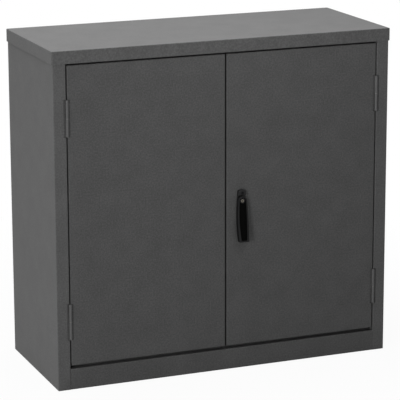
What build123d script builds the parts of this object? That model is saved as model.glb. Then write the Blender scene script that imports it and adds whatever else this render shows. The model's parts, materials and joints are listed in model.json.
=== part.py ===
from build123d import *
import math
import os

os.makedirs("parts", exist_ok=True)

# Everything is modelled with x to the right, z up and y measured back from
# the front plane of the stiles. save() shifts it so that the origin is on the
# floor, under the middle of the whole cabinet with its handle.

# Shell
width = 900.0               # over the cap's side lips
height = 850.0
cap_depth = 370.0
cap_lip = 32.0              # depth of the cap's down-turned lips
cap_side_overhang = 3.0
cap_front_overhang = 1.5
cap_corner_radius = 3.0
panel_sheet = 1.2           # cap, sides, rails and doors
inner_sheet = 1.0           # back, base, shelves, uprights and channels
bend_radius = 2.0           # outside radius of every fold
side_flange = 15.0
stile_width = 32.0
jamb_depth = 20.0
kick_height = 53.0
rail_flange = 18.0
stop_lip = 22.0             # height of the lips that the doors close against
weld_lap = 0.6              # how far a welded flange runs into its sheet
corner_relief = 4.0         # cut from the back's folded ends at the side flanges
relief_gap = 1.0
past = 1.0                  # how far a cut runs past the faces that it opens

# Doors
door_side_gap = 3.0
door_middle_gap = 4.0
door_top_gap = 4.5
door_bottom_gap = 9.0
door_thickness = 18.0
door_lip = 12.0
buffer_thickness = 2.0
buffer_side = 8.0
buffer_bevel = 0.6
buffer_clearance = 0.3      # between a closed door and its buffers
buffer_inset = 100.0        # from a door's free edge to its buffers
stiffener_width = 60.0
stiffener_flange = 12.0
stiffener_end_gap = 20.0    # from a stiffener's end to the door's lip

# Lift-off hinges
hinge_length = 90.0
lower_hinge_height = 121.5  # from the kick rail up to the lower hinge's middle
upper_hinge_drop = 133.5    # from the cap's lip down to the upper hinge's middle
hinge_leaf = 1.2
knuckle_radius = 3.6        # each leaf is rolled round the pin
leaf_reach = 16.0           # from the pin's axis to a leaf's far edge
leaf_corner = 3.0
leaf_gap = 0.4              # between a leaf and the other leaf's knuckle
pin_clearance = 0.05
pin_end_gap = 4.0
collar_thickness = 0.75     # the pin's collar, on which the door's knuckle turns
collar_inset = 0.4
collar_clearance = 0.15
notch_side = 8.0            # from the pin's axis to a notch's edge
notch_clearance = 0.4       # behind the leaves
notch_end_clearance = 1.0

# Inside
upright_width = 25.0
upright_depth = 12.0
upright_front = 62.0        # front face of the front uprights
upright_rear_gap = 40.0     # from the rear uprights to the back
slot_width = 14.0
slot_height = 5.0
slot_pitch = 75.0
first_slot = 60.0           # from the base to the lowest slot
shelf_slots = {"lower": 3, "upper": 6}  # counted up from the lowest slot
shelf_front = 50.0
shelf_edge = 25.0
shelf_return = 10.0
shelf_side_gap = 1.8        # between a shelf and the uprights
shelf_rear_gap = 5.0
clip_sheet = 1.5
clip_width = 12.0
clip_ledge = 15.0
clip_hook_rise = 8.0        # from a clip's ledge up to the middle of its slot
clip_hook_play = 0.5        # between a clip's tail and the back of its upright
clip_tail = 4.0
base_edge = 18.0

# Lock and handle
lock_x = 41.0
lock_z = 440.0
escutcheon_thickness = 3.0
escutcheon_top = 466.0
escutcheon_bottom = 342.0
escutcheon_crown = 5.0      # how far the top end arches
escutcheon_top_half = 9.2
escutcheon_half = 12.5      # half the width in the middle, where the sides bulge most
escutcheon_bottom_half = 8.5
escutcheon_corner = 3.0
escutcheon_boss = 8.5
boss_bevel = 1.2
boss_gap = 1.5              # between the boss and the lever's head
screw_radius = 1.8
screw_head_radius = 3.2
screw_head_play = 0.3
screw_head_height = 2.1
screw_end = 6.0             # how far a screw reaches behind the door's front
upper_screw_drop = 6.2
lower_screw_rise = 14.0
lever_gap = 0.4
lever_bottom = 336.0
lever_head_radius = 11.8
lever_head_reach = 12.0
lever_half = 13.5           # half the width in the middle, where the sides bulge most
lever_end_half = 12.4
lever_end_reach = 24.5
lever_end_radius = 1.5
lever_end_thickness = 9.0
lever_edge = 1.2            # bevel round the lever's front
lever_overrun = 0.05        # share of its length by which the cuts that shape it run past it
finger_hollow_top = 55.0    # from the spindle down to the hollow behind the lever's end
scoop_radius = 8.0          # the long dish in the lever's front, round the key cylinder and down
scoop_half = 9.0
scoop_end_half = 6.6
scoop_head_depth = 3.5
scoop_end_depth = 6.0
scoop_margin = 3.6
scoop_corner = 2.0
sleeve_radius = 6.8
sleeve_wall = 1.6
sleeve_inset = 1.2          # from the lever's head back to the sleeve's front
sleeve_depth = 4.6
sleeve_floor = 1.0
plug_clearance = 0.05
plug_inset = 0.3
keyway_width = 1.6
keyway_length = 6.4
keyway_depth = 2.2
bush_radius = 9.0
bush_end = 18.6
bush_nut_width = 24.0
spindle_radius = 5.0
spindle_square = 7.0
spindle_clearance = 0.05
spindle_gap = 0.5           # between the spindle and the sleeve
stud_step = 0.5             # from the spindle's square to its stud
stud_proud = 1.0            # how far the stud stands out of its nut
channel_left = 15.0         # lock channel's left side
channel_right = 68.0
channel_back = 16.8
channel_flange = 8.0
crank_start = 19.5
crank_thickness = 3.0
crank_radius = 21.5
tongue_length = 53.0
tongue_width = 18.0
tongue_bevel = 3.0
crank_pin_throw = 16.0
crank_pin_radius = 2.5
crank_pin_angle = 45.0
pin_slot_play = 0.7
pin_slot_spare = 0.8        # added to a slot's length
crank_pin_proud = 1.5
nut_width = 9.5
nut_thickness = 4.0
bolt_width = 16.0
bolt_thickness = 3.0
bolt_bevel = 2.5            # lead-in at a bolt's tip
bolt_gap = 0.5              # between the crank plate and the bolts
bolt_end = 9.0              # from a crank pin to the bolt's inner end
bolt_overlap = 12.0         # how far a bolt reaches behind a stop lip
guide_height = 20.0
guide_margin = 5.0
guide_wall = 2.5
guide_bevel = 1.5
guide_clearance = 0.3
guide_distance = 34.0       # from the door's end to the middle of a guide

# Derived places
body_half = width / 2 - cap_side_overhang
body_depth = cap_depth - 2 * cap_front_overhang
body_top = height - panel_sheet
inner_half = body_half - panel_sheet
opening_half = body_half - stile_width
opening_top = height - cap_lip
stop_y = door_thickness + buffer_thickness + buffer_clearance
stop_back = stop_y + panel_sheet
back_y = body_depth - panel_sheet - inner_sheet
door_bottom = kick_height + door_bottom_gap
door_top = opening_top - door_top_gap
door_outer = opening_half - door_side_gap
door_inner = door_middle_gap / 2
hinge_x = opening_half - door_side_gap / 2
hinge_y = hinge_leaf + panel_sheet - knuckle_radius
bore_radius = knuckle_radius - hinge_leaf
pin_radius = bore_radius - pin_clearance
hinge_levels = {"lower": kick_height + lower_hinge_height, "upper": opening_top - upper_hinge_drop}
leaf_front = panel_sheet
leaf_back = panel_sheet + hinge_leaf
upright_face = inner_half - upright_depth
upright_rear = back_y - upright_rear_gap - upright_width
slot_count = 1 + int((body_top - kick_height - 2 * first_slot) / slot_pitch)
shelf_half = upright_face - shelf_side_gap
shelf_back = back_y - shelf_rear_gap
lever_back = -escutcheon_thickness - lever_gap
lever_top = lock_z + lever_head_radius
sleeve_front = -lever_head_reach + sleeve_inset
sleeve_back = sleeve_front + sleeve_depth
spindle_front = sleeve_back + spindle_gap
crank_back = crank_start + crank_thickness
stud_radius = spindle_square / 2 - stud_step
bolt_front = crank_back + bolt_gap
pin_offset_x = crank_pin_throw * (1 + math.cos(math.radians(crank_pin_angle))) / 2
pin_offset_z = crank_pin_throw * math.sin(math.radians(crank_pin_angle))
bolt_x = {"top": lock_x - pin_offset_x, "bottom": lock_x + pin_offset_x}


def block(x0, x1, y0, y1, z0, z1):
    """A box between two corners."""
    return Pos((x0 + x1) / 2, (y0 + y1) / 2, (z0 + z1) / 2) * Box(x1 - x0, y1 - y0, z1 - z0)


def rod(x, z, y0, y1, radius):
    """A round bar along y."""
    return Pos(x, (y0 + y1) / 2, z) * Rot(90, 0, 0) * Cylinder(radius, y1 - y0)


def post(x, y, z0, z1, radius):
    """A round bar along z."""
    return Pos(x, y, (z0 + z1) / 2) * Cylinder(radius, z1 - z0)


def folded(points, sheet, side=Side.LEFT):
    """The section of a folded sheet: its outer line with rounded bends, thickened to one side."""
    line = FilletPolyline(*points, radius=bend_radius)
    return make_face(offset(line, sheet, side=side))


def tight_folded(points, sheet, side=Side.LEFT):
    """The section of a small pressed piece whose bends are as tight as its sheet allows."""
    return make_face(offset(Polyline(*points), sheet, side=side, kind=Kind.INTERSECTION))


def mirrored(shape):
    """The same piece on the other side of the cabinet."""
    return mirror(shape, about=Plane.YZ)


def tray(x0, x1, y0, y1, z0, z1, sheet):
    """A sheet at z1 with a down-turned edge on all four sides."""
    outer = block(x0, x1, y0, y1, z0, z1)
    return outer - block(x0 + sheet, x1 - sheet, y0 + sheet, y1 - sheet, z0 - past, z1 - sheet)


def rounded_top(body, radius):
    """The body with the bends round its top edge rounded."""
    return fillet(body.faces().sort_by(Axis.Z)[-1].edges(), radius)


# Shell

def top_cap():
    """The lid: a flat top with a deep lip all round."""
    front = -cap_front_overhang
    cap = tray(-width / 2, width / 2, front, front + cap_depth, height - cap_lip, height, panel_sheet)
    corners = cap.edges().filter_by(Axis.Z).group_by(SortBy.LENGTH)[-1]
    return rounded_top(fillet(corners, cap_corner_radius), bend_radius)


def hinge_notch(level):
    """The cut that lets a hinge's knuckle sink between a door and its stile."""
    half = hinge_length / 2 + notch_end_clearance
    depth = leaf_back + notch_clearance
    return block(hinge_x - notch_side, hinge_x + notch_side, -past, depth, level - half, level + half)


def side_panel():
    """The right side with its rear flange, stile and jamb folded from one sheet."""
    outline = [
        (opening_half, jamb_depth),
        (opening_half, 0),
        (body_half, 0),
        (body_half, body_depth),
        (body_half - side_flange, body_depth),
    ]
    panel = extrude(folded(outline, panel_sheet), body_top)
    edge = 2 * bend_radius
    inner, outer = body_half - side_flange, inner_half + weld_lap
    for level in (0, body_top - panel_sheet):
        panel += block(inner, outer, edge, body_depth - edge, level, level + panel_sheet)
    for level in hinge_levels.values():
        panel -= hinge_notch(level)
    return panel


def across(section, half):
    """A section drawn in y and z, run from side to side."""
    return Pos(-half, 0, 0) * extrude(Plane.YZ * section, 2 * half)


def header_rail():
    """The rail behind the cap's front lip, with the upper door stop."""
    outline = [
        (rail_flange, body_top),
        (0, body_top),
        (0, opening_top),
        (stop_y, opening_top),
        (stop_y, opening_top - stop_lip),
    ]
    return across(folded(outline, panel_sheet), opening_half)


def kick_rail():
    """The rail under the doors, with the lower door stop."""
    outline = [
        (rail_flange, 0),
        (0, 0),
        (0, kick_height),
        (stop_y, kick_height),
        (stop_y, kick_height + stop_lip),
    ]
    return across(folded(outline, panel_sheet, Side.RIGHT), opening_half)


def back_panel():
    """The back, welded inside the rear flanges, with its ends folded forwards."""
    outline = [
        (back_y + inner_sheet - rail_flange, body_top),
        (back_y + inner_sheet, body_top),
        (back_y + inner_sheet, 0),
        (back_y + inner_sheet - rail_flange, 0),
    ]
    panel = across(folded(outline, inner_sheet, Side.RIGHT), inner_half - bend_radius)
    for side in (-1, 1):
        inner, outer = sorted((side * (body_half - side_flange - relief_gap), side * inner_half))
        for level in (0, body_top):
            panel -= block(inner, outer, 0, back_y, level - corner_relief, level + corner_relief)
    return panel


def base_shelf():
    """The fixed floor of the cabinet."""
    return tray(-inner_half, inner_half, stop_back, back_y, kick_height - base_edge, kick_height, inner_sheet)


# Doors

def door_pan():
    """The right door: a pan with an inner lip all round and notches for its hinges."""
    outer = block(door_inner, door_outer, 0, door_thickness, door_bottom, door_top)
    outer = fillet(outer.faces().sort_by(Axis.Y)[0].edges(), bend_radius)
    hollow = block(
        door_inner + panel_sheet,
        door_outer - panel_sheet,
        panel_sheet,
        door_thickness - panel_sheet,
        door_bottom + panel_sheet,
        door_top - panel_sheet,
    )
    mouth = block(
        door_inner + door_lip,
        door_outer - door_lip,
        door_thickness / 2,
        door_thickness + past,
        door_bottom + door_lip,
        door_top - door_lip,
    )
    pan = outer - hollow - mouth
    for level in hinge_levels.values():
        pan -= hinge_notch(level)
    return pan


def left_door_panel():
    """The left door, a plain pan."""
    return mirrored(door_pan())


def right_door_panel():
    """The right door, pierced for the lock and its escutcheon's screws."""
    pan = door_pan() - rod(lock_x, lock_z, -past, panel_sheet + past, bush_radius)
    for level, seat in screw_places():
        pan -= rod(lock_x, level, seat, panel_sheet + past, screw_radius)
    return pan


def hat_channel(x0, x1, back, flange, z0, z1):
    """A hat-section stiffener welded behind a door's front sheet."""
    outline = [
        (x0 - flange, panel_sheet),
        (x0, panel_sheet),
        (x0, back),
        (x1, back),
        (x1, panel_sheet),
        (x1 + flange, panel_sheet),
    ]
    section = tight_folded(outline, inner_sheet)
    return Pos(0, 0, z0) * extrude(section, z1 - z0)


def door_stiffener():
    """The stiffener down the middle of a door."""
    middle = (door_inner + door_outer) / 2
    end = door_lip + stiffener_end_gap
    back = door_thickness - panel_sheet - 2 * inner_sheet
    left = middle - stiffener_width / 2
    right = middle + stiffener_width / 2
    return hat_channel(left, right, back, stiffener_flange, door_bottom + end, door_top - end)


def lock_channel():
    """The channel behind the lock that carries the bolt guides."""
    end = door_lip + stiffener_end_gap / 2
    back = channel_back - inner_sheet
    low, high = door_bottom + end, door_top - end
    channel = hat_channel(channel_left, channel_right, back, channel_flange, low, high)
    return channel - rod(lock_x, lock_z, 0, door_thickness + past, bush_radius)


def door_buffers():
    """Rubber buffers on the stop lips, two to each door near its free edge."""
    middle = door_inner + buffer_inset
    half = buffer_side / 2
    front = stop_y - buffer_thickness
    buffers = []
    for level in (door_bottom + door_lip / 2, door_top - door_lip / 2):
        pad = block(middle - half, middle + half, front, stop_y, level - half, level + half)
        pad = chamfer(pad.faces().sort_by(Axis.Y)[0].edges(), buffer_bevel)
        buffers += [pad, mirrored(pad)]
    return buffers


# Hinges

def rolled_leaf(side, level, end):
    """A leaf behind the front sheet, rolled round the pin over the half of its length given by end."""
    half = hinge_length / 2
    reach = hinge_x + side * leaf_reach
    step = hinge_x + side * (knuckle_radius + leaf_gap)
    middle = level + end * (collar_thickness + collar_clearance) / 2
    tip = level + end * half
    low, high = sorted((middle, tip))
    plate = block(*sorted((step, reach)), leaf_front, leaf_back, level - half, level + half)
    far_end = plate.faces().sort_by(Axis.X)[-1 if side > 0 else 0]
    plate = chamfer(far_end.edges().filter_by(Axis.Y), leaf_corner)
    neck = block(*sorted((hinge_x, step)), leaf_front, leaf_back, low, high)
    return plate + neck + post(hinge_x, hinge_y, low, high, knuckle_radius)


def frame_leaf(level):
    """The fixed half of a hinge, with the lower knuckle."""
    foot = level - hinge_length / 2 + pin_end_gap
    return rolled_leaf(1, level, -1) - post(hinge_x, hinge_y, foot, level, pin_radius)


def door_leaf(level):
    """The lift-off half of a hinge, with the upper knuckle."""
    head = level + hinge_length / 2 - pin_end_gap
    return rolled_leaf(-1, level, 1) - post(hinge_x, hinge_y, level, head, bore_radius)


def hinge_pin(level):
    """The pin, pressed into the lower knuckle, with the collar that carries the upper one."""
    half = hinge_length / 2
    pin = post(hinge_x, hinge_y, level - half + pin_end_gap, level + half - 2 * pin_end_gap, pin_radius)
    seat = level - (collar_thickness + collar_clearance) / 2
    return pin + post(hinge_x, hinge_y, seat, seat + collar_thickness, knuckle_radius - collar_inset)


# Uprights, shelves and clips

def upright(front):
    """A slotted U-section upright on the right side, from the base to the top flange."""
    back = front + upright_width
    outline = [(inner_half, front), (upright_face, front), (upright_face, back), (inner_half, back)]
    section = tight_folded(outline, inner_sheet, Side.RIGHT)
    channel = Pos(0, 0, kick_height) * extrude(section, body_top - panel_sheet - kick_height)
    middle = (front + back) / 2
    slot = Box(2 * (inner_sheet + past), slot_width, slot_height)
    for count in range(slot_count):
        channel -= Pos(upright_face, middle, slot_level(count)) * slot
    return channel


def slot_level(count):
    """The height of a slot, counted from the lowest."""
    return kick_height + first_slot + count * slot_pitch


def shelf(place):
    """An adjustable shelf with folded edges and an inner return all round."""
    low = slot_level(shelf_slots[place]) - clip_hook_rise
    body = tray(-shelf_half, shelf_half, shelf_front, shelf_back, low, low + shelf_edge, inner_sheet)
    body = rounded_top(body, bend_radius)
    rim = block(
        weld_lap - shelf_half,
        shelf_half - weld_lap,
        shelf_front + weld_lap,
        shelf_back - weld_lap,
        low,
        low + inner_sheet,
    )
    mouth = block(
        shelf_return - shelf_half,
        shelf_half - shelf_return,
        shelf_front + shelf_return,
        shelf_back - shelf_return,
        low - past,
        low + inner_sheet + past,
    )
    return body + (rim - mouth)


def shelf_clip(place, front):
    """A strip folded into a ledge under a shelf's corner and a hook through an upright's slot."""
    slot = slot_level(shelf_slots[place])
    hook = slot - slot_height / 2
    ledge = slot - clip_hook_rise - clip_sheet
    back = upright_face + inner_sheet + clip_hook_play
    outline = [
        (upright_face - clip_ledge, ledge),
        (upright_face, ledge),
        (upright_face, hook),
        (back, hook),
        (back, hook - clip_tail),
    ]
    middle = front + upright_width / 2
    strip = extrude(Plane.XZ * tight_folded(outline, clip_sheet), clip_width)
    return Pos(0, middle + clip_width / 2, 0) * strip


def shelf_clips(place):
    """The four clips under one shelf."""
    clips = []
    for front in (upright_front, upright_rear):
        clip = shelf_clip(place, front)
        clips += [clip, mirrored(clip)]
    return clips


# Handle and lock

def from_front(sketch, y0, y1):
    """A sketch drawn in x and z, made solid between two depths."""
    return Pos(0, y1, 0) * extrude(Plane.XZ * sketch, y1 - y0)


def screw_places():
    """The height of each screw of the escutcheon and the depth at which its head bears."""
    upper = (escutcheon_top - upper_screw_drop, screw_head_height + screw_head_play - escutcheon_boss)
    lower = (escutcheon_bottom + lower_screw_rise, -escutcheon_thickness)
    return [upper, lower]


def barrel(top, top_half, half, bottom, bottom_half, crown):
    """An upright outline with bulging sides, an arched top that rises by crown and a straight foot."""
    shoulder = top - crown
    middle = (top + bottom) / 2
    arch = ThreePointArc((-top_half, shoulder), (0, top), (top_half, shoulder))
    sides = []
    for side in (-1, 1):
        ends = ((side * bottom_half, bottom), (side * top_half, shoulder))
        sides.append(ThreePointArc(ends[0], (side * half, middle), ends[1]))
    foot = Line(sides[0] @ 0, sides[1] @ 0)
    return Pos(lock_x, 0) * make_face([arch, foot, *sides])


def escutcheon_outline():
    """The plate seen from the front."""
    sketch = barrel(
        escutcheon_top,
        escutcheon_top_half,
        escutcheon_half,
        escutcheon_bottom,
        escutcheon_bottom_half,
        escutcheon_crown,
    )
    return fillet(sketch.vertices(), escutcheon_corner)


def handle_escutcheon():
    """The moulded plate behind the lever, with a boss above the lever's head."""
    outline = escutcheon_outline()
    boss = from_front(outline, -escutcheon_boss, 0)
    half = escutcheon_half
    boss &= block(lock_x - half, lock_x + half, -escutcheon_boss, 0, lever_top + boss_gap, escutcheon_top)
    boss = chamfer(boss.faces().sort_by(Axis.Y)[0].edges(), boss_bevel)
    body = from_front(outline, -escutcheon_thickness, 0) + boss
    body -= rod(lock_x, lock_z, -escutcheon_boss, past, bush_radius)
    for level, seat in screw_places():
        body -= rod(lock_x, level, seat - past, past, screw_radius)
    level, seat = screw_places()[0]
    return body - rod(lock_x, level, -escutcheon_boss - past, seat, screw_head_radius + screw_head_play)


def escutcheon_screws():
    """The two screws that hold the escutcheon to the door."""
    screws = []
    for level, seat in screw_places():
        head = rod(lock_x, level, seat - screw_head_height, seat, screw_head_radius)
        screws.append(head + rod(lock_x, level, seat, screw_end, screw_radius))
    return screws


def lever_outline():
    """The lever seen from the front: a round head, bulging sides and a straight end."""
    radius = lever_head_radius
    sketch = barrel(lever_top, radius, lever_half, lever_bottom, lever_end_half, radius)
    return fillet(sketch.vertices().sort_by(Axis.Y)[:2], lever_end_radius)


def scoop_outline():
    """The dish in the lever's front: round about the key cylinder, then like the lever."""
    radius = scoop_radius
    sketch = barrel(lock_z + radius, radius, scoop_half, lever_bottom + scoop_margin, scoop_end_half, radius)
    return fillet(sketch.vertices().sort_by(Axis.Y)[:2], scoop_corner)


def behind_curve(head, end):
    """The space behind a face that curves outwards from the depth head to the depth end."""
    line = []
    for share in (-lever_overrun, 0.5, 1 + lever_overrun):
        line.append((head + (end - head) * share * share, lever_top + share * (lever_bottom - lever_top)))
    face = ThreePointArc(*line)
    back = Polyline(line[2], (past, line[2][1]), (past, line[0][1]), line[0])
    slab = extrude(Plane.YZ * make_face([face, back]), 4 * lever_half)
    return Pos(lock_x - 2 * lever_half, 0, 0) * slab


def finger_hollow():
    """The wedge cut from the lever's back so that fingers reach behind its end."""
    top = Vector(lever_back, lock_z - finger_hollow_top)
    slope = Vector(lever_end_thickness - lever_end_reach, lever_bottom) - top
    foot = top + slope * (1 + lever_overrun)
    sketch = make_face(Polyline(top, foot, (past, foot.Y), (past, top.Y), close=True))
    return Pos(lock_x - 2 * lever_half, 0, 0) * extrude(Plane.YZ * sketch, 4 * lever_half)


def handle_lever():
    """The turning lever: a round head about the key cylinder and a dished grip that stands off the plate."""
    deep = -2 * lever_end_reach
    body = from_front(lever_outline(), deep, lever_back) & behind_curve(-lever_head_reach, -lever_end_reach)
    front = min(body.faces(), key=lambda face: face.normal_at().Y)
    body = chamfer(front.edges(), lever_edge) - finger_hollow()
    floor = behind_curve(scoop_head_depth - lever_head_reach, scoop_end_depth - lever_end_reach)
    body -= from_front(scoop_outline(), deep, lever_back) - floor
    body -= rod(lock_x, lock_z, deep, sleeve_back, sleeve_radius)
    half = spindle_square / 2
    body -= block(lock_x - half, lock_x + half, spindle_front, 0, lock_z - half, lock_z + half)
    return body


def cylinder_sleeve():
    """The metal sleeve of the key cylinder."""
    sleeve = rod(lock_x, lock_z, sleeve_front, sleeve_back, sleeve_radius)
    bore = sleeve_radius - sleeve_wall
    return sleeve - rod(lock_x, lock_z, sleeve_front - past, sleeve_back - sleeve_floor, bore)


def key_plug():
    """The plug that the key turns, with its keyway."""
    front = sleeve_front + plug_inset
    back = sleeve_back - sleeve_floor - 2 * plug_clearance
    plug = rod(lock_x, lock_z, front, back, sleeve_radius - sleeve_wall - plug_clearance)
    keyway = Box(keyway_width, 2 * keyway_depth, keyway_length)
    return plug - Pos(lock_x, front, lock_z) * keyway


def lock_bush():
    """The bush through the door that the spindle turns in."""
    bush = rod(lock_x, lock_z, -escutcheon_thickness, bush_end, bush_radius)
    bore = spindle_radius + spindle_clearance
    return bush - rod(lock_x, lock_z, -escutcheon_thickness - past, bush_end + past, bore)


def bush_nut():
    """The hexagonal nut that clamps the lock to its channel."""
    sketch = Pos(lock_x, lock_z) * RegularPolygon(bush_nut_width / 2, 6, major_radius=False)
    nut = from_front(sketch, channel_back, bush_end)
    return nut - rod(lock_x, lock_z, channel_back - past, bush_end + past, bush_radius)


def lock_spindle():
    """The spindle: square in the lever, round in the bush, square in the crank plate."""
    half = spindle_square / 2
    front = block(lock_x - half, lock_x + half, spindle_front, lever_back, lock_z - half, lock_z + half)
    middle = rod(lock_x, lock_z, lever_back, crank_start, spindle_radius)
    back = block(lock_x - half, lock_x + half, crank_start, crank_back, lock_z - half, lock_z + half)
    stud = rod(lock_x, lock_z, crank_back, crank_back + nut_thickness + stud_proud, stud_radius)
    return front + middle + back + stud


def crank_pin_places():
    """The crank pins' places: up and left for the top bolt, down and right for the bottom one."""
    step = crank_pin_throw * math.cos(math.radians(crank_pin_angle))
    return {"top": (lock_x - step, lock_z + pin_offset_z), "bottom": (lock_x + step, lock_z - pin_offset_z)}


def crank_plate():
    """The plate that drives both bolts and whose tongue holds the left door."""
    tongue = Pos(lock_x - tongue_length / 2, lock_z) * Rectangle(tongue_length, tongue_width)
    tongue = chamfer(tongue.vertices().sort_by(Axis.X)[:2], tongue_bevel)
    disc = Pos(lock_x, lock_z) * Circle(crank_radius)
    square = Pos(lock_x, lock_z) * Rectangle(spindle_square, spindle_square)
    return from_front(disc + tongue - square, crank_start, crank_back)


def crank_pins():
    """The two pins welded to the crank plate."""
    end = bolt_front + bolt_thickness + crank_pin_proud
    return [rod(x, z, crank_back, end, crank_pin_radius) for x, z in crank_pin_places().values()]


def spindle_nut():
    """The nut that holds the crank plate on its spindle."""
    sketch = Pos(lock_x, lock_z) * RegularPolygon(nut_width / 2, 6, major_radius=False)
    nut = from_front(sketch, crank_back, crank_back + nut_thickness)
    return nut - rod(lock_x, lock_z, crank_back - past, crank_back + nut_thickness + past, stud_radius)


def bolt(end):
    """A flat bolt with a cross slot for its crank pin and a bevelled tip."""
    x = bolt_x[end]
    pin_z = crank_pin_places()[end][1]
    if end == "top":
        inner = pin_z - bolt_end
        tip = opening_top - stop_lip + bolt_overlap
    else:
        inner = pin_z + bolt_end
        tip = kick_height + stop_lip - bolt_overlap
    flat = Pos(x, (tip + inner) / 2) * Rectangle(bolt_width, abs(tip - inner))
    corners = flat.vertices().sort_by(Axis.Y)
    flat = chamfer(corners[-2:] if end == "top" else corners[:2], bolt_bevel)
    travel = crank_pin_throw * (1 - math.cos(math.radians(crank_pin_angle)))
    slot_long = travel + 2 * crank_pin_radius + pin_slot_spare
    slot_high = 2 * (crank_pin_radius + pin_slot_play)
    flat -= Pos(x, pin_z) * Rectangle(slot_long, slot_high)
    return from_front(flat, bolt_front, bolt_front + bolt_thickness)


def bolt_guide(end):
    """A moulded guide on the lock channel that a bolt slides through."""
    x = bolt_x[end]
    level = door_top - guide_distance if end == "top" else door_bottom + guide_distance
    half = bolt_width / 2 + guide_margin
    back = bolt_front + bolt_thickness + guide_clearance + guide_wall
    guide = block(x - half, x + half, channel_back, back, level - guide_height / 2, level + guide_height / 2)
    guide = chamfer(guide.faces().sort_by(Axis.Y)[-1].edges(), guide_bevel)
    room = bolt_width / 2 + guide_clearance
    passage = block(
        x - room,
        x + room,
        bolt_front - guide_clearance,
        bolt_front + bolt_thickness + guide_clearance,
        level - guide_height,
        level + guide_height,
    )
    return guide - passage


# The assembly

def build():
    """Every node with its solids, still measured from the front plane of the stiles."""
    nodes = {
        "top_cap": top_cap(),
        "left_side_panel": mirrored(side_panel()),
        "right_side_panel": side_panel(),
        "back_panel": back_panel(),
        "header_rail": header_rail(),
        "kick_rail": kick_rail(),
        "base_shelf": base_shelf(),
        "door_buffers": door_buffers(),
        "left_door_panel": left_door_panel(),
        "left_door_stiffener": mirrored(door_stiffener()),
        "right_door_panel": right_door_panel(),
        "right_door_stiffener": door_stiffener(),
        "right_door_lock_channel": lock_channel(),
        "handle_escutcheon": handle_escutcheon(),
        "escutcheon_screws": escutcheon_screws(),
        "handle_lever": handle_lever(),
        "cylinder_sleeve": cylinder_sleeve(),
        "key_plug": key_plug(),
        "lock_bush": lock_bush(),
        "bush_nut": bush_nut(),
        "lock_spindle": lock_spindle(),
        "crank_plate": crank_plate(),
        "crank_pins": crank_pins(),
        "spindle_nut": spindle_nut(),
        "top_bolt": bolt("top"),
        "bottom_bolt": bolt("bottom"),
        "top_bolt_guide": bolt_guide("top"),
        "bottom_bolt_guide": bolt_guide("bottom"),
    }
    for place, front in (("front", upright_front), ("rear", upright_rear)):
        post_body = upright(front)
        nodes[f"{place}_right_upright"] = post_body
        nodes[f"{place}_left_upright"] = mirrored(post_body)
    for place in shelf_slots:
        nodes[f"{place}_shelf"] = shelf(place)
        nodes[f"{place}_shelf_clips"] = shelf_clips(place)
    for place, level in hinge_levels.items():
        pieces = {"frame_leaf": frame_leaf(level), "pin": hinge_pin(level), "door_leaf": door_leaf(level)}
        for piece, shape in pieces.items():
            nodes[f"right_{place}_hinge_{piece}"] = shape
            nodes[f"left_{place}_hinge_{piece}"] = mirrored(shape)
    return nodes


def save(nodes):
    """Centre the cabinet over its origin and write one STEP file for each node."""
    reach = -nodes["handle_lever"].bounding_box().min.Y
    depth = reach + cap_depth - cap_front_overhang
    front_plane = reach - depth / 2
    shift = Pos(0, front_plane, 0)
    for name, shape in nodes.items():
        if isinstance(shape, list):
            shape = Compound(children=[piece.solid() for piece in shape])
        export_step(shift * shape, f"parts/{name}.step")
    print("front plane at y =", round(front_plane, 4), "overall depth", round(depth, 4))


save(build())
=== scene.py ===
import json
import math

import bmesh
import bpy
from mathutils import Matrix, Vector


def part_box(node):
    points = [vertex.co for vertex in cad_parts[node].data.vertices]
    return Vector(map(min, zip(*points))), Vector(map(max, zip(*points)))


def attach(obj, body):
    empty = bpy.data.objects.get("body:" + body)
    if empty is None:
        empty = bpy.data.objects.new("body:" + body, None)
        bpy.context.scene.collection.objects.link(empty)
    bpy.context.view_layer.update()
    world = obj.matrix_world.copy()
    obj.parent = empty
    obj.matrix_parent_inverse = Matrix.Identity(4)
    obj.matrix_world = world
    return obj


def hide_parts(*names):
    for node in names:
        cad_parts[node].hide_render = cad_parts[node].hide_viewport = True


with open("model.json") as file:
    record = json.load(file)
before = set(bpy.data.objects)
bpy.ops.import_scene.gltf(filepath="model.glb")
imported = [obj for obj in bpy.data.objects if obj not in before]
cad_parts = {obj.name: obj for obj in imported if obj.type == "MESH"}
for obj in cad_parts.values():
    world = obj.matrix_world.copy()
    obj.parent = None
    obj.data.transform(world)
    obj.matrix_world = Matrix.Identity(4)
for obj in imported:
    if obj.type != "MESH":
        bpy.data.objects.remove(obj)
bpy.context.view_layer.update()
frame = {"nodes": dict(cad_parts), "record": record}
cadNodes = frame["nodes"]
print("frame loaded:", len(cadNodes), "nodes")

mm = 0.001                       # the frame is in metres and the sizes below in millimetres
white = (1.0, 1.0, 1.0, 1.0)
noiseLow, noiseHigh = 0.3, 0.7   # nearly all of a noise texture's values lie between these
edgeSamples = 6                  # rays per point for edges that a finish rounds over
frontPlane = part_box("right_door_panel")[0][1]    # the y of the doors' front faces


def srgb(hexText):
    # the one place where a screen colour becomes a linear one
    channels = [int(hexText[i:i + 2], 16) / 255 for i in (1, 3, 5)]
    linear = [c / 12.92 if c <= 0.04045 else ((c + 0.055) / 1.055) ** 2.4 for c in channels]
    return (*linear, 1.0)


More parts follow.
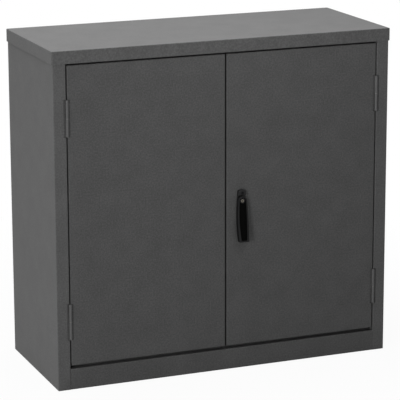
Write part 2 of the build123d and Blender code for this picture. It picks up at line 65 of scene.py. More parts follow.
def addNode(tree, kind, inputs=None, links=None, settings=None, stops=None):
    # adds one node: inputs are its sockets' values, links what feeds its sockets, settings its
    # properties, and stops the positions and colours along a colour ramp
    node = tree.nodes.new(kind)
    for name, value in (settings or {}).items():
        setattr(node, name, value)
    for name, value in (inputs or {}).items():
        node.inputs[name].default_value = value
    for name, source in (links or {}).items():
        tree.links.new(source, node.inputs[name])
    for number, (position, colour) in enumerate(stops or []):
        ramp = node.color_ramp.elements          # a new ramp has two stops
        stop = ramp[number] if number < 2 else ramp.new(position)
        stop.position = position
        stop.color = srgb(colour)
    return node


def newMaterial(name):
    material = bpy.data.materials.new(name)
    material.use_nodes = True
    material.node_tree.nodes.clear()
    return material


def patternScale(sizeMm):
    # a noise texture's scale for bumps of about this size, in object space in metres
    return 1.0 / (sizeMm * mm)


powderCoat = {
    "colour": "#4e4e4e",
    "darkPatch": "#464646",
    "lightPatch": "#575757",
    "patchEnds": (0.36, 0.64),   # where the mottle is at its darkest and at its lightest
    "roughness": (0.5, 0.6),
    "ior": 1.5,
    "specular": 0.15,            # low, because the matte coat's fine texture scatters what it reflects
    "grainMm": 4.0,              # the real grain is under a millimetre, drawn coarser so that it shows
    "peelMm": 2.2,               # orange peel of a sprayed and baked coat
    "patchMm": 55.0,             # uneven film thickness
    "patchShare": 0.2,           # of the mottle, the rest being grain
    "grainBump": 0.6, "peelBump": 0.5, "bumpMm": 0.05,
    "edgeMm": 0.5,               # how softly the coat rolls over cut edges
}

# the shell takes a slightly paler copy of the doors' coat: painted light, so that its faces show brighter
# than the doors
shellCoat = {**powderCoat, "colour": "#545454", "darkPatch": "#4c4c4c", "lightPatch": "#5d5d5d"}
# the knuckles' fronts are painted paler as a painted highlight, over the last millimetres by which they
# stand in front of the doors' faces
hingeCoat = {**powderCoat, "litFront": "#5b5b5b", "litStartMm": 0.5, "litFullMm": 2.5}
# over a rail's end that is welded flush and filled
railCoat = {**powderCoat, "edgeMm": 0.02}


def powderCoatedSteel(name, spec):
    # Folded mild steel, sprayed with polyester powder and baked: an even charcoal with a fine
    # pebbled grain, a soft broad sheen and edges that the coat has rounded over.
    material = newMaterial(name)
    tree = material.node_tree
    place = addNode(tree, "ShaderNodeTexCoord").outputs["Object"]
    grain = addNode(tree, "ShaderNodeTexNoise",
                    {"Scale": patternScale(spec["grainMm"]), "Detail": 3.0, "Roughness": 0.6},
                    {"Vector": place})
    patch = addNode(tree, "ShaderNodeTexNoise",
                    {"Scale": patternScale(spec["patchMm"]), "Detail": 2.0, "Roughness": 0.5},
                    {"Vector": place})
    peel = addNode(tree, "ShaderNodeTexNoise",
                   {"Scale": patternScale(spec["peelMm"]), "Detail": 2.0, "Roughness": 0.45},
                   {"Vector": place})
    mottle = addNode(tree, "ShaderNodeMix", {"Factor": spec["patchShare"]},
                     {"A": grain.outputs["Fac"], "B": patch.outputs["Fac"]}, {"data_type": "FLOAT"})
    dark, light = spec["patchEnds"]
    tone = addNode(tree, "ShaderNodeValToRGB", links={"Fac": mottle.outputs["Result"]},
                   stops=[(dark, spec["darkPatch"]), ((dark + light) / 2, spec["colour"]),
                          (light, spec["lightPatch"])])
    colour = tone.outputs["Color"]
    # painted highlight: paler where the knuckles stand in front of the doors' faces, leaving the leaves in
    # their slots at the plain colour
    if "litFront" in spec:
        parts = addNode(tree, "ShaderNodeSeparateXYZ", links={"Vector": place})
        litShare = addNode(tree, "ShaderNodeMapRange",
                      {"From Min": frontPlane - spec["litStartMm"] * mm,
                       "From Max": frontPlane - spec["litFullMm"] * mm}, {"Value": parts.outputs["Y"]})
        colour = addNode(tree, "ShaderNodeMixRGB", {"Color2": srgb(spec["litFront"])},
                         {"Fac": litShare.outputs["Result"], "Color1": colour}).outputs["Color"]
    rough = addNode(tree, "ShaderNodeMapRange",
                    {"From Min": noiseLow, "From Max": noiseHigh,
                     "To Min": spec["roughness"][0], "To Max": spec["roughness"][1]},
                    {"Value": grain.outputs["Fac"]})
    rounded = addNode(tree, "ShaderNodeBevel", {"Radius": spec["edgeMm"] * mm}, None,
                      {"samples": edgeSamples})
    depth = spec["bumpMm"] * mm
    coarse = addNode(tree, "ShaderNodeBump", {"Strength": spec["grainBump"], "Distance": depth},
                     {"Height": grain.outputs["Fac"], "Normal": rounded.outputs["Normal"]})
    fine = addNode(tree, "ShaderNodeBump", {"Strength": spec["peelBump"], "Distance": depth},
                   {"Height": peel.outputs["Fac"], "Normal": coarse.outputs["Normal"]})
    shader = addNode(tree, "ShaderNodeBsdfPrincipled",
                     {"IOR": spec["ior"], "Metallic": 0.0, "Specular IOR Level": spec["specular"]},
                     {"Base Color": colour, "Roughness": rough.outputs["Result"],
                      "Normal": fine.outputs["Normal"]})
    addNode(tree, "ShaderNodeOutputMaterial", links={"Surface": shader.outputs[0]})
    return material


nylon = {
    "colour": "#0d0d0e",
    "worn": "#151516",
    "wearEnds": (0.35, 0.75),    # where it is still as moulded and where it is worn palest
    "roughness": (0.44, 0.58),
    "ior": 1.53,
    "specular": 0.13,            # the pebbled skin throws back less than polished plastic does
    "sparkMm": 0.6,              # grain of the spark-eroded tool
    "wearMm": 9.0,               # broad, faint patches that hands have worn
    "bump": 0.3, "bumpMm": 0.04,
    "edgeMm": 0.4,
}

# the grip's dish is coarser grained and stays matte, and its near-black colour is painted shade for the
# hollow
dishNylon = {**nylon, "colour": "#030303", "worn": "#050505", "roughness": (0.69, 0.83), "specular": 0.03,
             "sparkMm": 0.9}
# the plate behind the lever comes from a smoother tool and keeps more of its shine
plateNylon = {**nylon, "roughness": (0.39, 0.53), "specular": 0.19}


def mouldedNylon(name, spec):
    # Glass-filled nylon, injection moulded in a spark-eroded tool: near black, faintly pebbled,
    # with a dull gloss that breaks up along its edges.
    material = newMaterial(name)
    tree = material.node_tree
    place = addNode(tree, "ShaderNodeTexCoord").outputs["Object"]
    spark = addNode(tree, "ShaderNodeTexNoise",
                    {"Scale": patternScale(spec["sparkMm"]), "Detail": 2.0}, {"Vector": place})
    wear = addNode(tree, "ShaderNodeTexNoise",
                   {"Scale": patternScale(spec["wearMm"]), "Detail": 3.0}, {"Vector": place})
    fresh, worn = spec["wearEnds"]
    tone = addNode(tree, "ShaderNodeValToRGB", links={"Fac": wear.outputs["Fac"]},
                   stops=[(fresh, spec["colour"]), (worn, spec["worn"])])
    rough = addNode(tree, "ShaderNodeMapRange",
                    {"From Min": noiseLow, "From Max": noiseHigh,
                     "To Min": spec["roughness"][0], "To Max": spec["roughness"][1]},
                    {"Value": wear.outputs["Fac"]})
    rounded = addNode(tree, "ShaderNodeBevel", {"Radius": spec["edgeMm"] * mm}, None,
                      {"samples": edgeSamples})
    bump = addNode(tree, "ShaderNodeBump", {"Strength": spec["bump"], "Distance": spec["bumpMm"] * mm},
                   {"Height": spark.outputs["Fac"], "Normal": rounded.outputs["Normal"]})
    shader = addNode(tree, "ShaderNodeBsdfPrincipled",
                     {"IOR": spec["ior"], "Specular IOR Level": spec["specular"]},
                     {"Base Color": tone.outputs["Color"], "Roughness": rough.outputs["Result"],
                      "Normal": bump.outputs["Normal"]})
    addNode(tree, "ShaderNodeOutputMaterial", links={"Surface": shader.outputs[0]})
    return material


# die-cast zinc and steel under black nickel: a near-black metal that only glints at its edges
blackNickel = {
    "bright": "#2a2a2c",
    "dull": "#1c1c1e",
    "roughness": (0.25, 0.38),
    "cloudMm": 6.0,
    "turningMm": 0.5,            # rings left by turning, under the plating
    "bump": 0.2, "bumpMm": 0.01,
    "edgeMm": 0.25,
}

# turned brass under satin nickel: a warm grey, softly shining face for the key plug
satinNickel = {
    "bright": "#6e6a63",
    "dull": "#54514b",
    "roughness": (0.19, 0.32),
    "cloudMm": 4.0,
    "turningMm": 0.4,
    "bump": 0.2, "bumpMm": 0.01,
    "edgeMm": 0.2,
}


def platedMetal(name, spec):
    # Turned and plated: cloudy in the broad, with faint rings and polished edges.
    material = newMaterial(name)
    tree = material.node_tree
    place = addNode(tree, "ShaderNodeTexCoord").outputs["Object"]
    cloud = addNode(tree, "ShaderNodeTexNoise",
                    {"Scale": patternScale(spec["cloudMm"]), "Detail": 3.0}, {"Vector": place})
    rings = addNode(tree, "ShaderNodeTexNoise",
                    {"Scale": patternScale(spec["turningMm"]), "Detail": 1.0}, {"Vector": place})
    tone = addNode(tree, "ShaderNodeValToRGB", links={"Fac": cloud.outputs["Fac"]},
                   stops=[(0.0, spec["dull"]), (1.0, spec["bright"])])
    rough = addNode(tree, "ShaderNodeMapRange",
                    {"From Min": noiseLow, "From Max": noiseHigh,
                     "To Min": spec["roughness"][0], "To Max": spec["roughness"][1]},
                    {"Value": cloud.outputs["Fac"]})
    rounded = addNode(tree, "ShaderNodeBevel", {"Radius": spec["edgeMm"] * mm}, None,
                      {"samples": edgeSamples})
    bump = addNode(tree, "ShaderNodeBump", {"Strength": spec["bump"], "Distance": spec["bumpMm"] * mm},
                   {"Height": rings.outputs["Fac"], "Normal": rounded.outputs["Normal"]})
    shader = addNode(tree, "ShaderNodeBsdfPrincipled", {"Metallic": 1.0},
                     {"Base Color": tone.outputs["Color"], "Roughness": rough.outputs["Result"],
                      "Normal": bump.outputs["Normal"]})
    addNode(tree, "ShaderNodeOutputMaterial", links={"Surface": shader.outputs[0]})
    return material


zinc = {
    "cool": "#aab0b5",
    "warm": "#b5b2a6",
    "bloomEnds": (0.35, 0.68),   # where the bloom is all cool and where it is all warm
    "roughness": (0.26, 0.42),
    "bloomMm": 14.0,             # patches of faint yellow and blue in the passivation
    "rollMm": 1.2,               # rolling marks of the strip
    "rollStretch": (1.0, 1.0, 0.08),    # draws the marks out along the height
    "bump": 0.25, "bumpMm": 0.02,
}

# the hinge pins' collars are dulled by the spray and by handling
pinZinc = {**zinc, "cool": "#7a7d80", "warm": "#807e76", "roughness": (0.37, 0.53)}


def zincPlatedSteel(name, spec):
    # Pressed steel, bright zinc plated and passivated: a soft grey metal with a faint
    # yellow and blue bloom and fine rolling marks.
    material = newMaterial(name)
    tree = material.node_tree
    place = addNode(tree, "ShaderNodeTexCoord").outputs["Object"]
    bloom = addNode(tree, "ShaderNodeTexNoise",
                    {"Scale": patternScale(spec["bloomMm"]), "Detail": 3.0}, {"Vector": place})
    stretched = addNode(tree, "ShaderNodeMapping", {"Scale": spec["rollStretch"]}, {"Vector": place})
    marks = addNode(tree, "ShaderNodeTexNoise",
                    {"Scale": patternScale(spec["rollMm"]), "Detail": 2.0},
                    {"Vector": stretched.outputs["Vector"]})
    cool, warm = spec["bloomEnds"]
    tone = addNode(tree, "ShaderNodeValToRGB", links={"Fac": bloom.outputs["Fac"]},
                   stops=[(cool, spec["cool"]), (warm, spec["warm"])])
    rough = addNode(tree, "ShaderNodeMapRange",
                    {"From Min": noiseLow, "From Max": noiseHigh,
                     "To Min": spec["roughness"][0], "To Max": spec["roughness"][1]},
                    {"Value": marks.outputs["Fac"]})
    bump = addNode(tree, "ShaderNodeBump", {"Strength": spec["bump"], "Distance": spec["bumpMm"] * mm},
                   {"Height": marks.outputs["Fac"]})
    shader = addNode(tree, "ShaderNodeBsdfPrincipled", {"Metallic": 1.0},
                     {"Base Color": tone.outputs["Color"], "Roughness": rough.outputs["Result"],
                      "Normal": bump.outputs["Normal"]})
    addNode(tree, "ShaderNodeOutputMaterial", links={"Surface": shader.outputs[0]})
    return material


rubber = {
    "colour": "#161616",
    "bloom": "#212120",
    "roughness": 0.78,
    "ior": 1.52,
    "grainMm": 0.8,
    "bump": 0.3, "bumpMm": 0.05,
}


def mouldedRubber(name, spec):
    # Black rubber, compression moulded: matte, with a dusty bloom.
    material = newMaterial(name)
    tree = material.node_tree
    place = addNode(tree, "ShaderNodeTexCoord").outputs["Object"]
    grain = addNode(tree, "ShaderNodeTexNoise",
                    {"Scale": patternScale(spec["grainMm"]), "Detail": 4.0}, {"Vector": place})
    tone = addNode(tree, "ShaderNodeValToRGB", links={"Fac": grain.outputs["Fac"]},
                   stops=[(0.0, spec["colour"]), (1.0, spec["bloom"])])
    bump = addNode(tree, "ShaderNodeBump", {"Strength": spec["bump"], "Distance": spec["bumpMm"] * mm},
                   {"Height": grain.outputs["Fac"]})
    shader = addNode(tree, "ShaderNodeBsdfPrincipled", {"IOR": spec["ior"], "Roughness": spec["roughness"]},
                     {"Base Color": tone.outputs["Color"], "Normal": bump.outputs["Normal"]})
    addNode(tree, "ShaderNodeOutputMaterial", links={"Surface": shader.outputs[0]})
    return material


finishes = {
    "powder_coat": powderCoatedSteel("powderCoatedSteel", powderCoat),
    "black_nylon": mouldedNylon("mouldedBlackNylon", nylon),
    "black_nickel": platedMetal("blackNickelPlate", blackNickel),
    "satin_nickel": platedMetal("satinNickelBrass", satinNickel),
    "zinc_plated_steel": zincPlatedSteel("zincPlatedSteel", zinc),
    "rubber": mouldedRubber("mouldedRubber", rubber),
}
variants = {
    "shell": powderCoatedSteel("powderCoatedShell", shellCoat),
    "rail": powderCoatedSteel("powderCoatedRail", railCoat),
    "hinge": powderCoatedSteel("powderCoatedHinge", hingeCoat),
    "dish": mouldedNylon("shadedDishNylon", dishNylon),
    "plate": mouldedNylon("smoothBlackNylon", plateNylon),
    "pin": zincPlatedSteel("dulledZincPlatedSteel", pinZinc),
}
print("finishes made:", len(finishes) + len(variants))

# the cabinet's own pieces whose names end like this take a variant of their slot's finish
variantEndings = {
    "shell": ("top_cap", "side_panel", "back_panel"),
    "rail": ("kick_rail", "header_rail"),
    "hinge": ("_leaf",),
    "pin": ("_pin",),
}
slotOfNode = {entry["node"]: entry["material_slot"] for entry in frame["record"]["subparts"]}
for nodeName, part in cadNodes.items():
    finish = finishes[slotOfNode[nodeName]]
    for variant, endings in variantEndings.items():
        if nodeName.endswith(endings):
            finish = variants[variant]
    part.data.materials.clear()
    part.data.materials.append(finish)
print("finishes given to the cabinet's own pieces")

# The pieces of the handle and the lock are measured in millimetres from the lock's axis and from the
# plane of the doors' fronts. Depths are negative in front of that plane.
plugLow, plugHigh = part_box("key_plug")
lockX = (plugLow[0] + plugHigh[0]) / 2
lockZ = (plugLow[2] + plugHigh[2]) / 2

rollAngles = [math.radians(22.5 * step) for step in range(5)]      # round a quarter turn
arcSteps, sideSteps = 40, 120    # the sides are finer, because the boss is cut short between two steps
archPoints, sidePoints = 16, 30  # along half the top and one side of a finished outline
closeMm = 0.01                   # keeps two skins from coinciding, and makes up for rounding
mergeMm = 0.001                  # points nearer than this are one point
cutterPast = 1.0                 # how far cutters reach past the surface that they open


def resample(points, count):
    # the same line with evenly spaced points
    spans = [(b - a).length for a, b in zip(points, points[1:])]
    result, index, passed = [points[0]], 0, 0.0
    for step in range(1, count - 1):
        goal = sum(spans) * step / (count - 1)
        while passed + spans[index] < goal:
            passed += spans[index]
            index += 1
        result.append(points[index].lerp(points[index + 1], (goal - passed) / spans[index]))
    return result + [points[-1]]


def turned(centre, start, sweep, steps):
    # the points that start passes through as it turns about the centre
    return [centre + Matrix.Rotation(-sweep * i / steps, 2) @ (start - centre) for i in range(steps + 1)]


def arcThrough(start, middle, end, steps):
    # a circular arc through three points, about the centre that is as far from each of them
    (ax, az), (bx, bz), (cx, cz) = start, middle, end
    d = 2 * (ax * (bz - cz) + bx * (cz - az) + cx * (az - bz))
    sa, sb, sc = ax * ax + az * az, bx * bx + bz * bz, cx * cx + cz * cz
    centre = Vector(((sa * (bz - cz) + sb * (cz - az) + sc * (az - bz)) / d,
                     (sa * (cx - bx) + sb * (ax - cx) + sc * (bx - ax)) / d))
    sweep = (Vector(start) - centre).angle_signed(Vector(end) - centre)
    return turned(centre, Vector(start), sweep, steps)


def roundOff(before, after, radius, steps=8):
    # two lines that meet, cut back from their corner, with the bend that rounds it between them
    corner = before[-1]
    back, onward = (before[-2] - corner).normalized(), (after[1] - corner).normalized()
    half = back.angle(onward) / 2
    reach = radius / math.tan(half)
    centre = corner + (back + onward).normalized() * radius / math.sin(half)
    first, last = corner + back * reach, corner + onward * reach
    sweep = (first - centre).angle_signed(last - centre)
    bend = turned(centre, first, sweep, steps)
    before = [p for p in before if (p - corner).length > reach] + [first]
    after = [last] + [p for p in after if (p - corner).length > reach]
    return before, bend, after


def barrelLoop(spec):
    # a closed upright outline with bulging sides, from its top down the right side and back up
    # the left; foot is where it ends, which may be above the bottom that its sides aim for
    top, bottom, shoulder = spec["top"], spec["bottom"], spec["top"] - spec["crown"]
    foot = spec.get("foot", bottom)
    arch = arcThrough((-spec["topHalf"], shoulder), (0, top), (spec["topHalf"], shoulder), arcSteps)
    arch = arch[arcSteps // 2:]
    side = arcThrough((spec["topHalf"], shoulder), (spec["half"], (top + bottom) / 2),
                      (spec["bottomHalf"], bottom), sideSteps)
    side = [p for p in side if p.y >= foot - closeMm]
    side[-1] = Vector((side[-1].x, foot))
    bend = []
    if "shoulder" in spec:
        arch, bend, side = roundOff(arch, side, spec["shoulder"])
    side, corner, base = roundOff(side, [side[-1], Vector((0, foot))], spec["corner"])
    half = resample(arch, archPoints)[:-1] + bend[:-1] + resample(side, sidePoints)[:-1] + corner + base[1:]
    return half + [Vector((-p.x, p.y)) for p in reversed(half[1:-1])]


def inset(loop, distance):
    # the loop moved inwards, each point along its own normal
    result = []
    for i, point in enumerate(loop):
        along = (loop[(i + 1) % len(loop)] - loop[i - 1]).normalized()
        result.append(point + Vector((along.y, -along.x)) * distance)
    return result


def rolled(across, deep, angles=rollAngles):
    # steps round a rolled edge: how far in from the side and how far behind the front each one lies
    return [(across * (1 - math.cos(a)), deep * (1 - math.sin(a))) for a in angles]


def atLock(x, depth, z):
    return (lockX + x * mm, frontPlane + depth * mm, lockZ + z * mm)


def ring(loop, depthAt):
    return [atLock(p.x, depthAt(p.y), p.y) for p in loop]


def closeAcross(body, row):
    # fills a symmetric ring with faces that run straight across it
    last = len(row) // 2
    faces = []
    for i in range(last - 2):
        faces.append(body.faces.new(list(dict.fromkeys((row[i], row[i + 1], row[-i - 1], row[-i])))))
    faces.append(body.faces.new(row[last - 2:last + 3]))
    return faces


def ringBody(rings, secondFrom=None):
    # a closed skin over rings of equal length, the faces after the ring secondFrom in the second material
    body = bmesh.new()
    rows = [[body.verts.new(point) for point in points] for points in rings]
    closeAcross(body, rows[0])
    for number, (low, high) in enumerate(zip(rows, rows[1:])):
        for i in range(len(low)):
            j = (i + 1) % len(low)
            face = body.faces.new((low[i], low[j], high[j], high[i]))
            face.material_index = int(secondFrom is not None and number >= secondFrom)
    for face in closeAcross(body, rows[-1]):
        face.material_index = int(secondFrom is not None)
    bmesh.ops.recalc_face_normals(body, faces=body.faces)
    return body


def latheBody(profile, height=0.0, sides=72, body=None):
    # a piece turned about an axis at this height, in a body of its own or added to one; its
    # profile runs radius, depth from the back
    if body is None:
        body = bmesh.new()
    rows = []
    for radius, depth in profile:
        angles = [2 * math.pi * i / sides for i in range(sides if radius else 1)]
        rows.append([body.verts.new(atLock(radius * math.sin(a), depth, height + radius * math.cos(a)))
                     for a in angles])
    for low, high in zip(rows, rows[1:]):
        for i in range(sides):
            j = (i + 1) % sides
            corners = (low[i % len(low)], low[j % len(low)], high[j % len(high)], high[i % len(high)])
            body.faces.new(list(dict.fromkeys(corners)))
    bmesh.ops.recalc_face_normals(body, faces=body.faces)
    return body


def roundCutter(radius, back, front, height=0.0, sides=72):
    return latheBody([(0, back), (radius, back), (radius, front), (0, front)], height, sides)


def blockCutter(width, length, back, front, height=0.0):
    body = bmesh.new()
    corners = [(-1, -1), (1, -1), (1, 1), (-1, 1)]
    rows = [[body.verts.new(atLock(x * width / 2, depth, height + z * length / 2)) for x, z in corners]
            for depth in (back, front)]
    body.faces.new(rows[0])
    body.faces.new(rows[1])
    for i in range(len(corners)):
        j = (i + 1) % len(corners)
        body.faces.new((rows[0][i], rows[0][j], rows[1][j], rows[1][i]))
    bmesh.ops.recalc_face_normals(body, faces=body.faces)
    return body


def newPiece(name, body, *materials):
    mesh = bpy.data.meshes.new(name)
    body.to_mesh(mesh)
    body.free()
    for material in materials:
        mesh.materials.append(material)
    piece = bpy.data.objects.new(name, mesh)
    bpy.context.scene.collection.objects.link(piece)
    return piece


def shape(piece, operation, tools):
    # joins the tools to the piece or cuts them out of it, and keeps the result as its mesh, without
    # the slivers that this leaves, so that its skin is closed
    holders = [newPiece("tool", tool) for tool in tools]
    for holder in holders:
        modifier = piece.modifiers.new("shape", "BOOLEAN")
        modifier.operation = operation
        modifier.solver = "EXACT"
        modifier.object = holder
    bpy.context.view_layer.update()
    result = piece.evaluated_get(bpy.context.evaluated_depsgraph_get())
    mesh = bpy.data.meshes.new_from_object(result)
    piece.modifiers.clear()
    piece.data = mesh
    skin = bmesh.new()
    skin.from_mesh(mesh)
    bmesh.ops.remove_doubles(skin, verts=skin.verts, dist=mergeMm * mm)
    bmesh.ops.dissolve_degenerate(skin, edges=skin.edges, dist=mergeMm * mm)
    skin.to_mesh(mesh)
    skin.free()
    for holder in holders:
        bpy.data.objects.remove(holder)


def finishPiece(piece, node, body, sharpDegrees=30):
    # shades it smooth but for its sharp edges, and puts it in its solid's place
    for face in piece.data.polygons:
        face.use_smooth = True
    piece.data.set_sharp_from_angle(angle=math.radians(sharpDegrees))
    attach(piece, body)
    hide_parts(node)


# An outline has its top and bottom, its half widths at the top's ends, at the waist and at the bottom,
# the rise of its arched top and the radius of its lower corners.
lever = {
    "outline": {"top": 11.8, "topHalf": 11.9, "half": 14.2, "bottom": -104.0, "bottomHalf": 13.0,
                "crown": 11.8, "corner": 1.4},
    "dish": {"top": 8.0, "topHalf": 8.2, "half": 10.0, "bottom": -100.6, "bottomHalf": 7.6,
             "crown": 8.2, "corner": 2.2},
    "headFront": -12.0, "endFront": -24.4,   # depth of the front, at the top and at the lower end
    "headDish": -8.5, "endDish": -18.4,      # of the dish's floor
    "back": -3.4, "endBack": -10.0,          # and of the back
    "hollowTop": -55.0,      # below this height the back falls away for the fingers
    "roll": 1.3,             # radius of the moulded front edge
    "backRoll": 0.5,
    "lip": 0.4,              # radius where the front rolls into the dish
    "dishRoll": 1.5,         # radius at the foot of the dish's wall
    "draft": 0.3,            # how far that wall leans in
    "bore": 6.8, "boreEnd": -6.2,            # for the cylinder's sleeve
}


def alongLever(head, end):
    # a depth that starts at head and falls towards end in a parabola
    top, bottom = lever["outline"]["top"], lever["outline"]["bottom"]
    return lambda z: head + (end - head) * max(0.0, (top - z) / (top - bottom)) ** 2


def leverBack(z):
    # the depth of the back at this height
    drop = max(0.0, lever["hollowTop"] - z) / (lever["hollowTop"] - lever["outline"]["bottom"])
    return lever["back"] + (lever["endBack"] - lever["back"]) * drop


def handleLever():
    # The sides bulge, the front edge is rolled over and a long deep dish runs down to the foot.
    spec = lever
    outer, dish = barrelLoop(spec["outline"]), barrelLoop(spec["dish"])
    front = alongLever(spec["headFront"], spec["endFront"])
    floor = alongLever(spec["headDish"], spec["endDish"])
    rings = [ring(inset(outer, spec["backRoll"]), leverBack),
             ring(outer, lambda z: leverBack(z) - spec["backRoll"])]
    for across, deep in rolled(spec["roll"], spec["roll"]):
        rings.append(ring(inset(outer, across), lambda z: front(z) + deep))
    for deep, across in rolled(spec["lip"], spec["lip"], rollAngles[::2]):     # over into the dish
        rings.append(ring(inset(dish, -across), lambda z: front(z) + deep))
    rim = len(rings) - 1
    for across, up in rolled(spec["dishRoll"], spec["dishRoll"]):
        rings.append(ring(inset(dish, spec["draft"] + across), lambda z: floor(z) - up))
    # the dish's faces take the nylon whose near-black colour is painted shade
    piece = newPiece("handleLever", ringBody(rings, rim), finishes["black_nylon"], variants["dish"])
    shape(piece, "DIFFERENCE", [roundCutter(spec["bore"], spec["boreEnd"], 2 * spec["endFront"])])
    finishPiece(piece, "handle_lever", "handle")


# Pan-head screws with a cross recess.
screw = {
    "places": [(19.8, -6.1), (-84.0, -3.0)],         # height, and the depth at which the head bears
    "headRadius": 3.2, "headHeight": 2.1, "sides": 48,
    "shank": 1.8, "end": 6.0,                        # its radius, and how deep behind the front it ends
    "crownAcross": 1.6, "crownDeep": 1.0, "crownSteps": 6,     # the head's rounded edge
    "peak": 0.15,                                    # how far the head's middle stands out past it
    "recessLength": 4.0, "recessWidth": 1.3, "recessDepth": 1.7,
}

# A barrel-shaped plate behind the lever, with a raised boss above it for the upper screw.
escutcheon = {
    "outline": {"top": 28.0, "topHalf": 10.0, "half": 12.9, "bottom": -98.0, "bottomHalf": 9.0,
                "crown": 3.2, "shoulder": 2.8, "corner": 3.0},
    "front": -3.0, "roll": 0.9,
    "bossFoot": 13.3, "bossCorner": 1.0, "bossFront": -8.5, "bossRoll": 1.3,
    "hole": 9.0,             # radius, with room for the lock's bush
    "sink": 3.5,             # radius of the upper screw's counterbore
    "screwHole": 1.8, "screwHoleSides": 36,
}


def rolledPlate(loop, back, front, roll):
    # a flat moulded plate with a rolled front edge
    rings = [ring(loop, lambda z: back)]
    for across, deep in rolled(roll, roll):
        rings.append(ring(inset(loop, across), lambda z: front + deep))
    return ringBody(rings)


def handleEscutcheon():
    spec = escutcheon
    plate = rolledPlate(barrelLoop(spec["outline"]), 0, spec["front"], spec["roll"])
    piece = newPiece("handleEscutcheon", plate, variants["plate"])
    bossOutline = {**spec["outline"], "foot": spec["bossFoot"], "corner": spec["bossCorner"]}
    bossLoop = inset(barrelLoop(bossOutline), closeMm)
    bossBack = spec["front"] / 2         # inside the plate, so that the two join
    shape(piece, "UNION", [rolledPlate(bossLoop, bossBack, spec["bossFront"], spec["bossRoll"])])
    wellInFront = 2 * spec["bossFront"]
    holes = [roundCutter(spec["hole"], cutterPast, wellInFront)]
    small, sides = spec["screwHole"], spec["screwHoleSides"]
    for height, seat in screw["places"]:
        holes.append(roundCutter(small, cutterPast, wellInFront, height, sides))
    height, seat = screw["places"][0]
    holes.append(roundCutter(spec["sink"], seat, wellInFront, height))
    shape(piece, "DIFFERENCE", holes)
    finishPiece(piece, "handle_escutcheon", "right_door")


def escutcheonScrews():
    spec = screw
    body = bmesh.new()
    crosses = []
    quarter = [math.radians(90 * step / spec["crownSteps"]) for step in range(spec["crownSteps"] + 1)]
    long, wide = spec["recessLength"], spec["recessWidth"]
    for height, seat in spec["places"]:
        top, radius = seat - spec["headHeight"], spec["headRadius"]
        profile = [(0, spec["end"]), (spec["shank"], spec["end"]), (spec["shank"], seat), (radius, seat)]
        profile += [(radius - across, top + deep)
                    for across, deep in rolled(spec["crownAcross"], spec["crownDeep"], quarter)]
        latheBody(profile + [(0, top - spec["peak"])], height, spec["sides"], body)
        for width, length in ((long, wide), (wide, long)):
            crosses.append(blockCutter(width, length, top + spec["recessDepth"], top - cutterPast, height))
    piece = newPiece("escutcheonScrews", body, finishes["black_nickel"])
    shape(piece, "DIFFERENCE", crosses)
    finishPiece(piece, "escutcheon_screws", "right_door")


# The cylinder's sleeve, a turned ring with a rolled front edge and a bore that is closed at the back.
sleeve = {
    "radius": 6.8, "front": -10.8, "back": -6.2,
    "lip": 0.5,              # radius of the front edge
    "bore": 5.2, "boreEnd": -7.2,
    "boreMouth": 0.2,        # how far the bore's mouth is opened out
}


def cylinderSleeve():
    spec = sleeve
    radius, front, bore, mouth = spec["radius"], spec["front"], spec["bore"], spec["boreMouth"]
    profile = [(0, spec["back"]), (radius, spec["back"])]
    profile += [(radius - across, front + deep) for across, deep in rolled(spec["lip"], spec["lip"])]
    profile += [(bore + mouth, front), (bore, front + mouth), (bore, spec["boreEnd"]), (0, spec["boreEnd"])]
    piece = newPiece("cylinderSleeve", latheBody(profile), finishes["black_nickel"])
    finishPiece(piece, "cylinder_sleeve", "handle")


# The key plug, with a domed turned face and an upright keyway whose mouth is eased.
plug = {
    "radius": 5.15, "front": -10.7, "back": -7.3,
    "chamfer": 1.0,          # wide and polished, so that its upper side glints
    "dome": 0.4,
    "domeShares": (1, 0.85, 0.7, 0.55, 0.4, 0.2, 0),    # of the face's radius, from its edge inwards
    "keyWidth": 1.6, "keyLength": 6.4, "keyDepth": 2.2,
    "keyMouth": 0.3,         # how far the keyway's mouth is opened out
}


def keyPlug():
    spec = plug
    radius, front, mouth = spec["radius"], spec["front"], spec["keyMouth"]
    face, rim = radius - spec["chamfer"], front + spec["dome"]
    profile = [(0, spec["back"]), (radius, spec["back"]), (radius, rim + spec["chamfer"])]
    profile += [(face * share, front + spec["dome"] * share ** 2) for share in spec["domeShares"]]
    piece = newPiece("keyPlug", latheBody(profile), finishes["satin_nickel"])
    width, length, past = spec["keyWidth"], spec["keyLength"], front - cutterPast
    cuts = [blockCutter(width, length, front + spec["keyDepth"], past),
            blockCutter(width + 2 * mouth, length + mouth, front + mouth, past)]
    shape(piece, "DIFFERENCE", cuts)
    finishPiece(piece, "key_plug", "key_plug")


handleLever()
handleEscutcheon()
escutcheonScrews()
cylinderSleeve()
keyPlug()
print("handle and lock made")

# The studio, in metres and watts.
studio = {
    "floorColour": "#c8c8c8",
    "floorSize": 60.0,
    "nearWhite": 0.955,      # share of plain white that the camera sees in the floor beside the cabinet
    "farWhite": 1.0,         # and far away, where the floor runs into the backdrop
    "nearReach": 0.7,        # from the cabinet's middle
    "farReach": 1.5,
    "footprintInset": 0.0006,  # to the middle of the sheet that stands on the floor
    "roomLight": 0.02,       # how much the white room lights the cabinet
    "aim": (0.0, 0.0, 0.45),
}

softboxes = {
    "overheadSoftbox": {"place": (-0.4, 0.4, 3.3), "size": 2.4, "power": 123.5},
    "lowLeftSoftbox": {"place": (-2.4, -2.4, 0.9), "size": 1.0, "power": 47.0},
    "frontSoftbox": {"place": (0.1, -0.9, 1.35), "size": 0.5, "power": 3.2},
    "leftSoftbox": {"place": (-2.6, -0.2, 1.6), "size": 1.2, "power": 4.8},
}


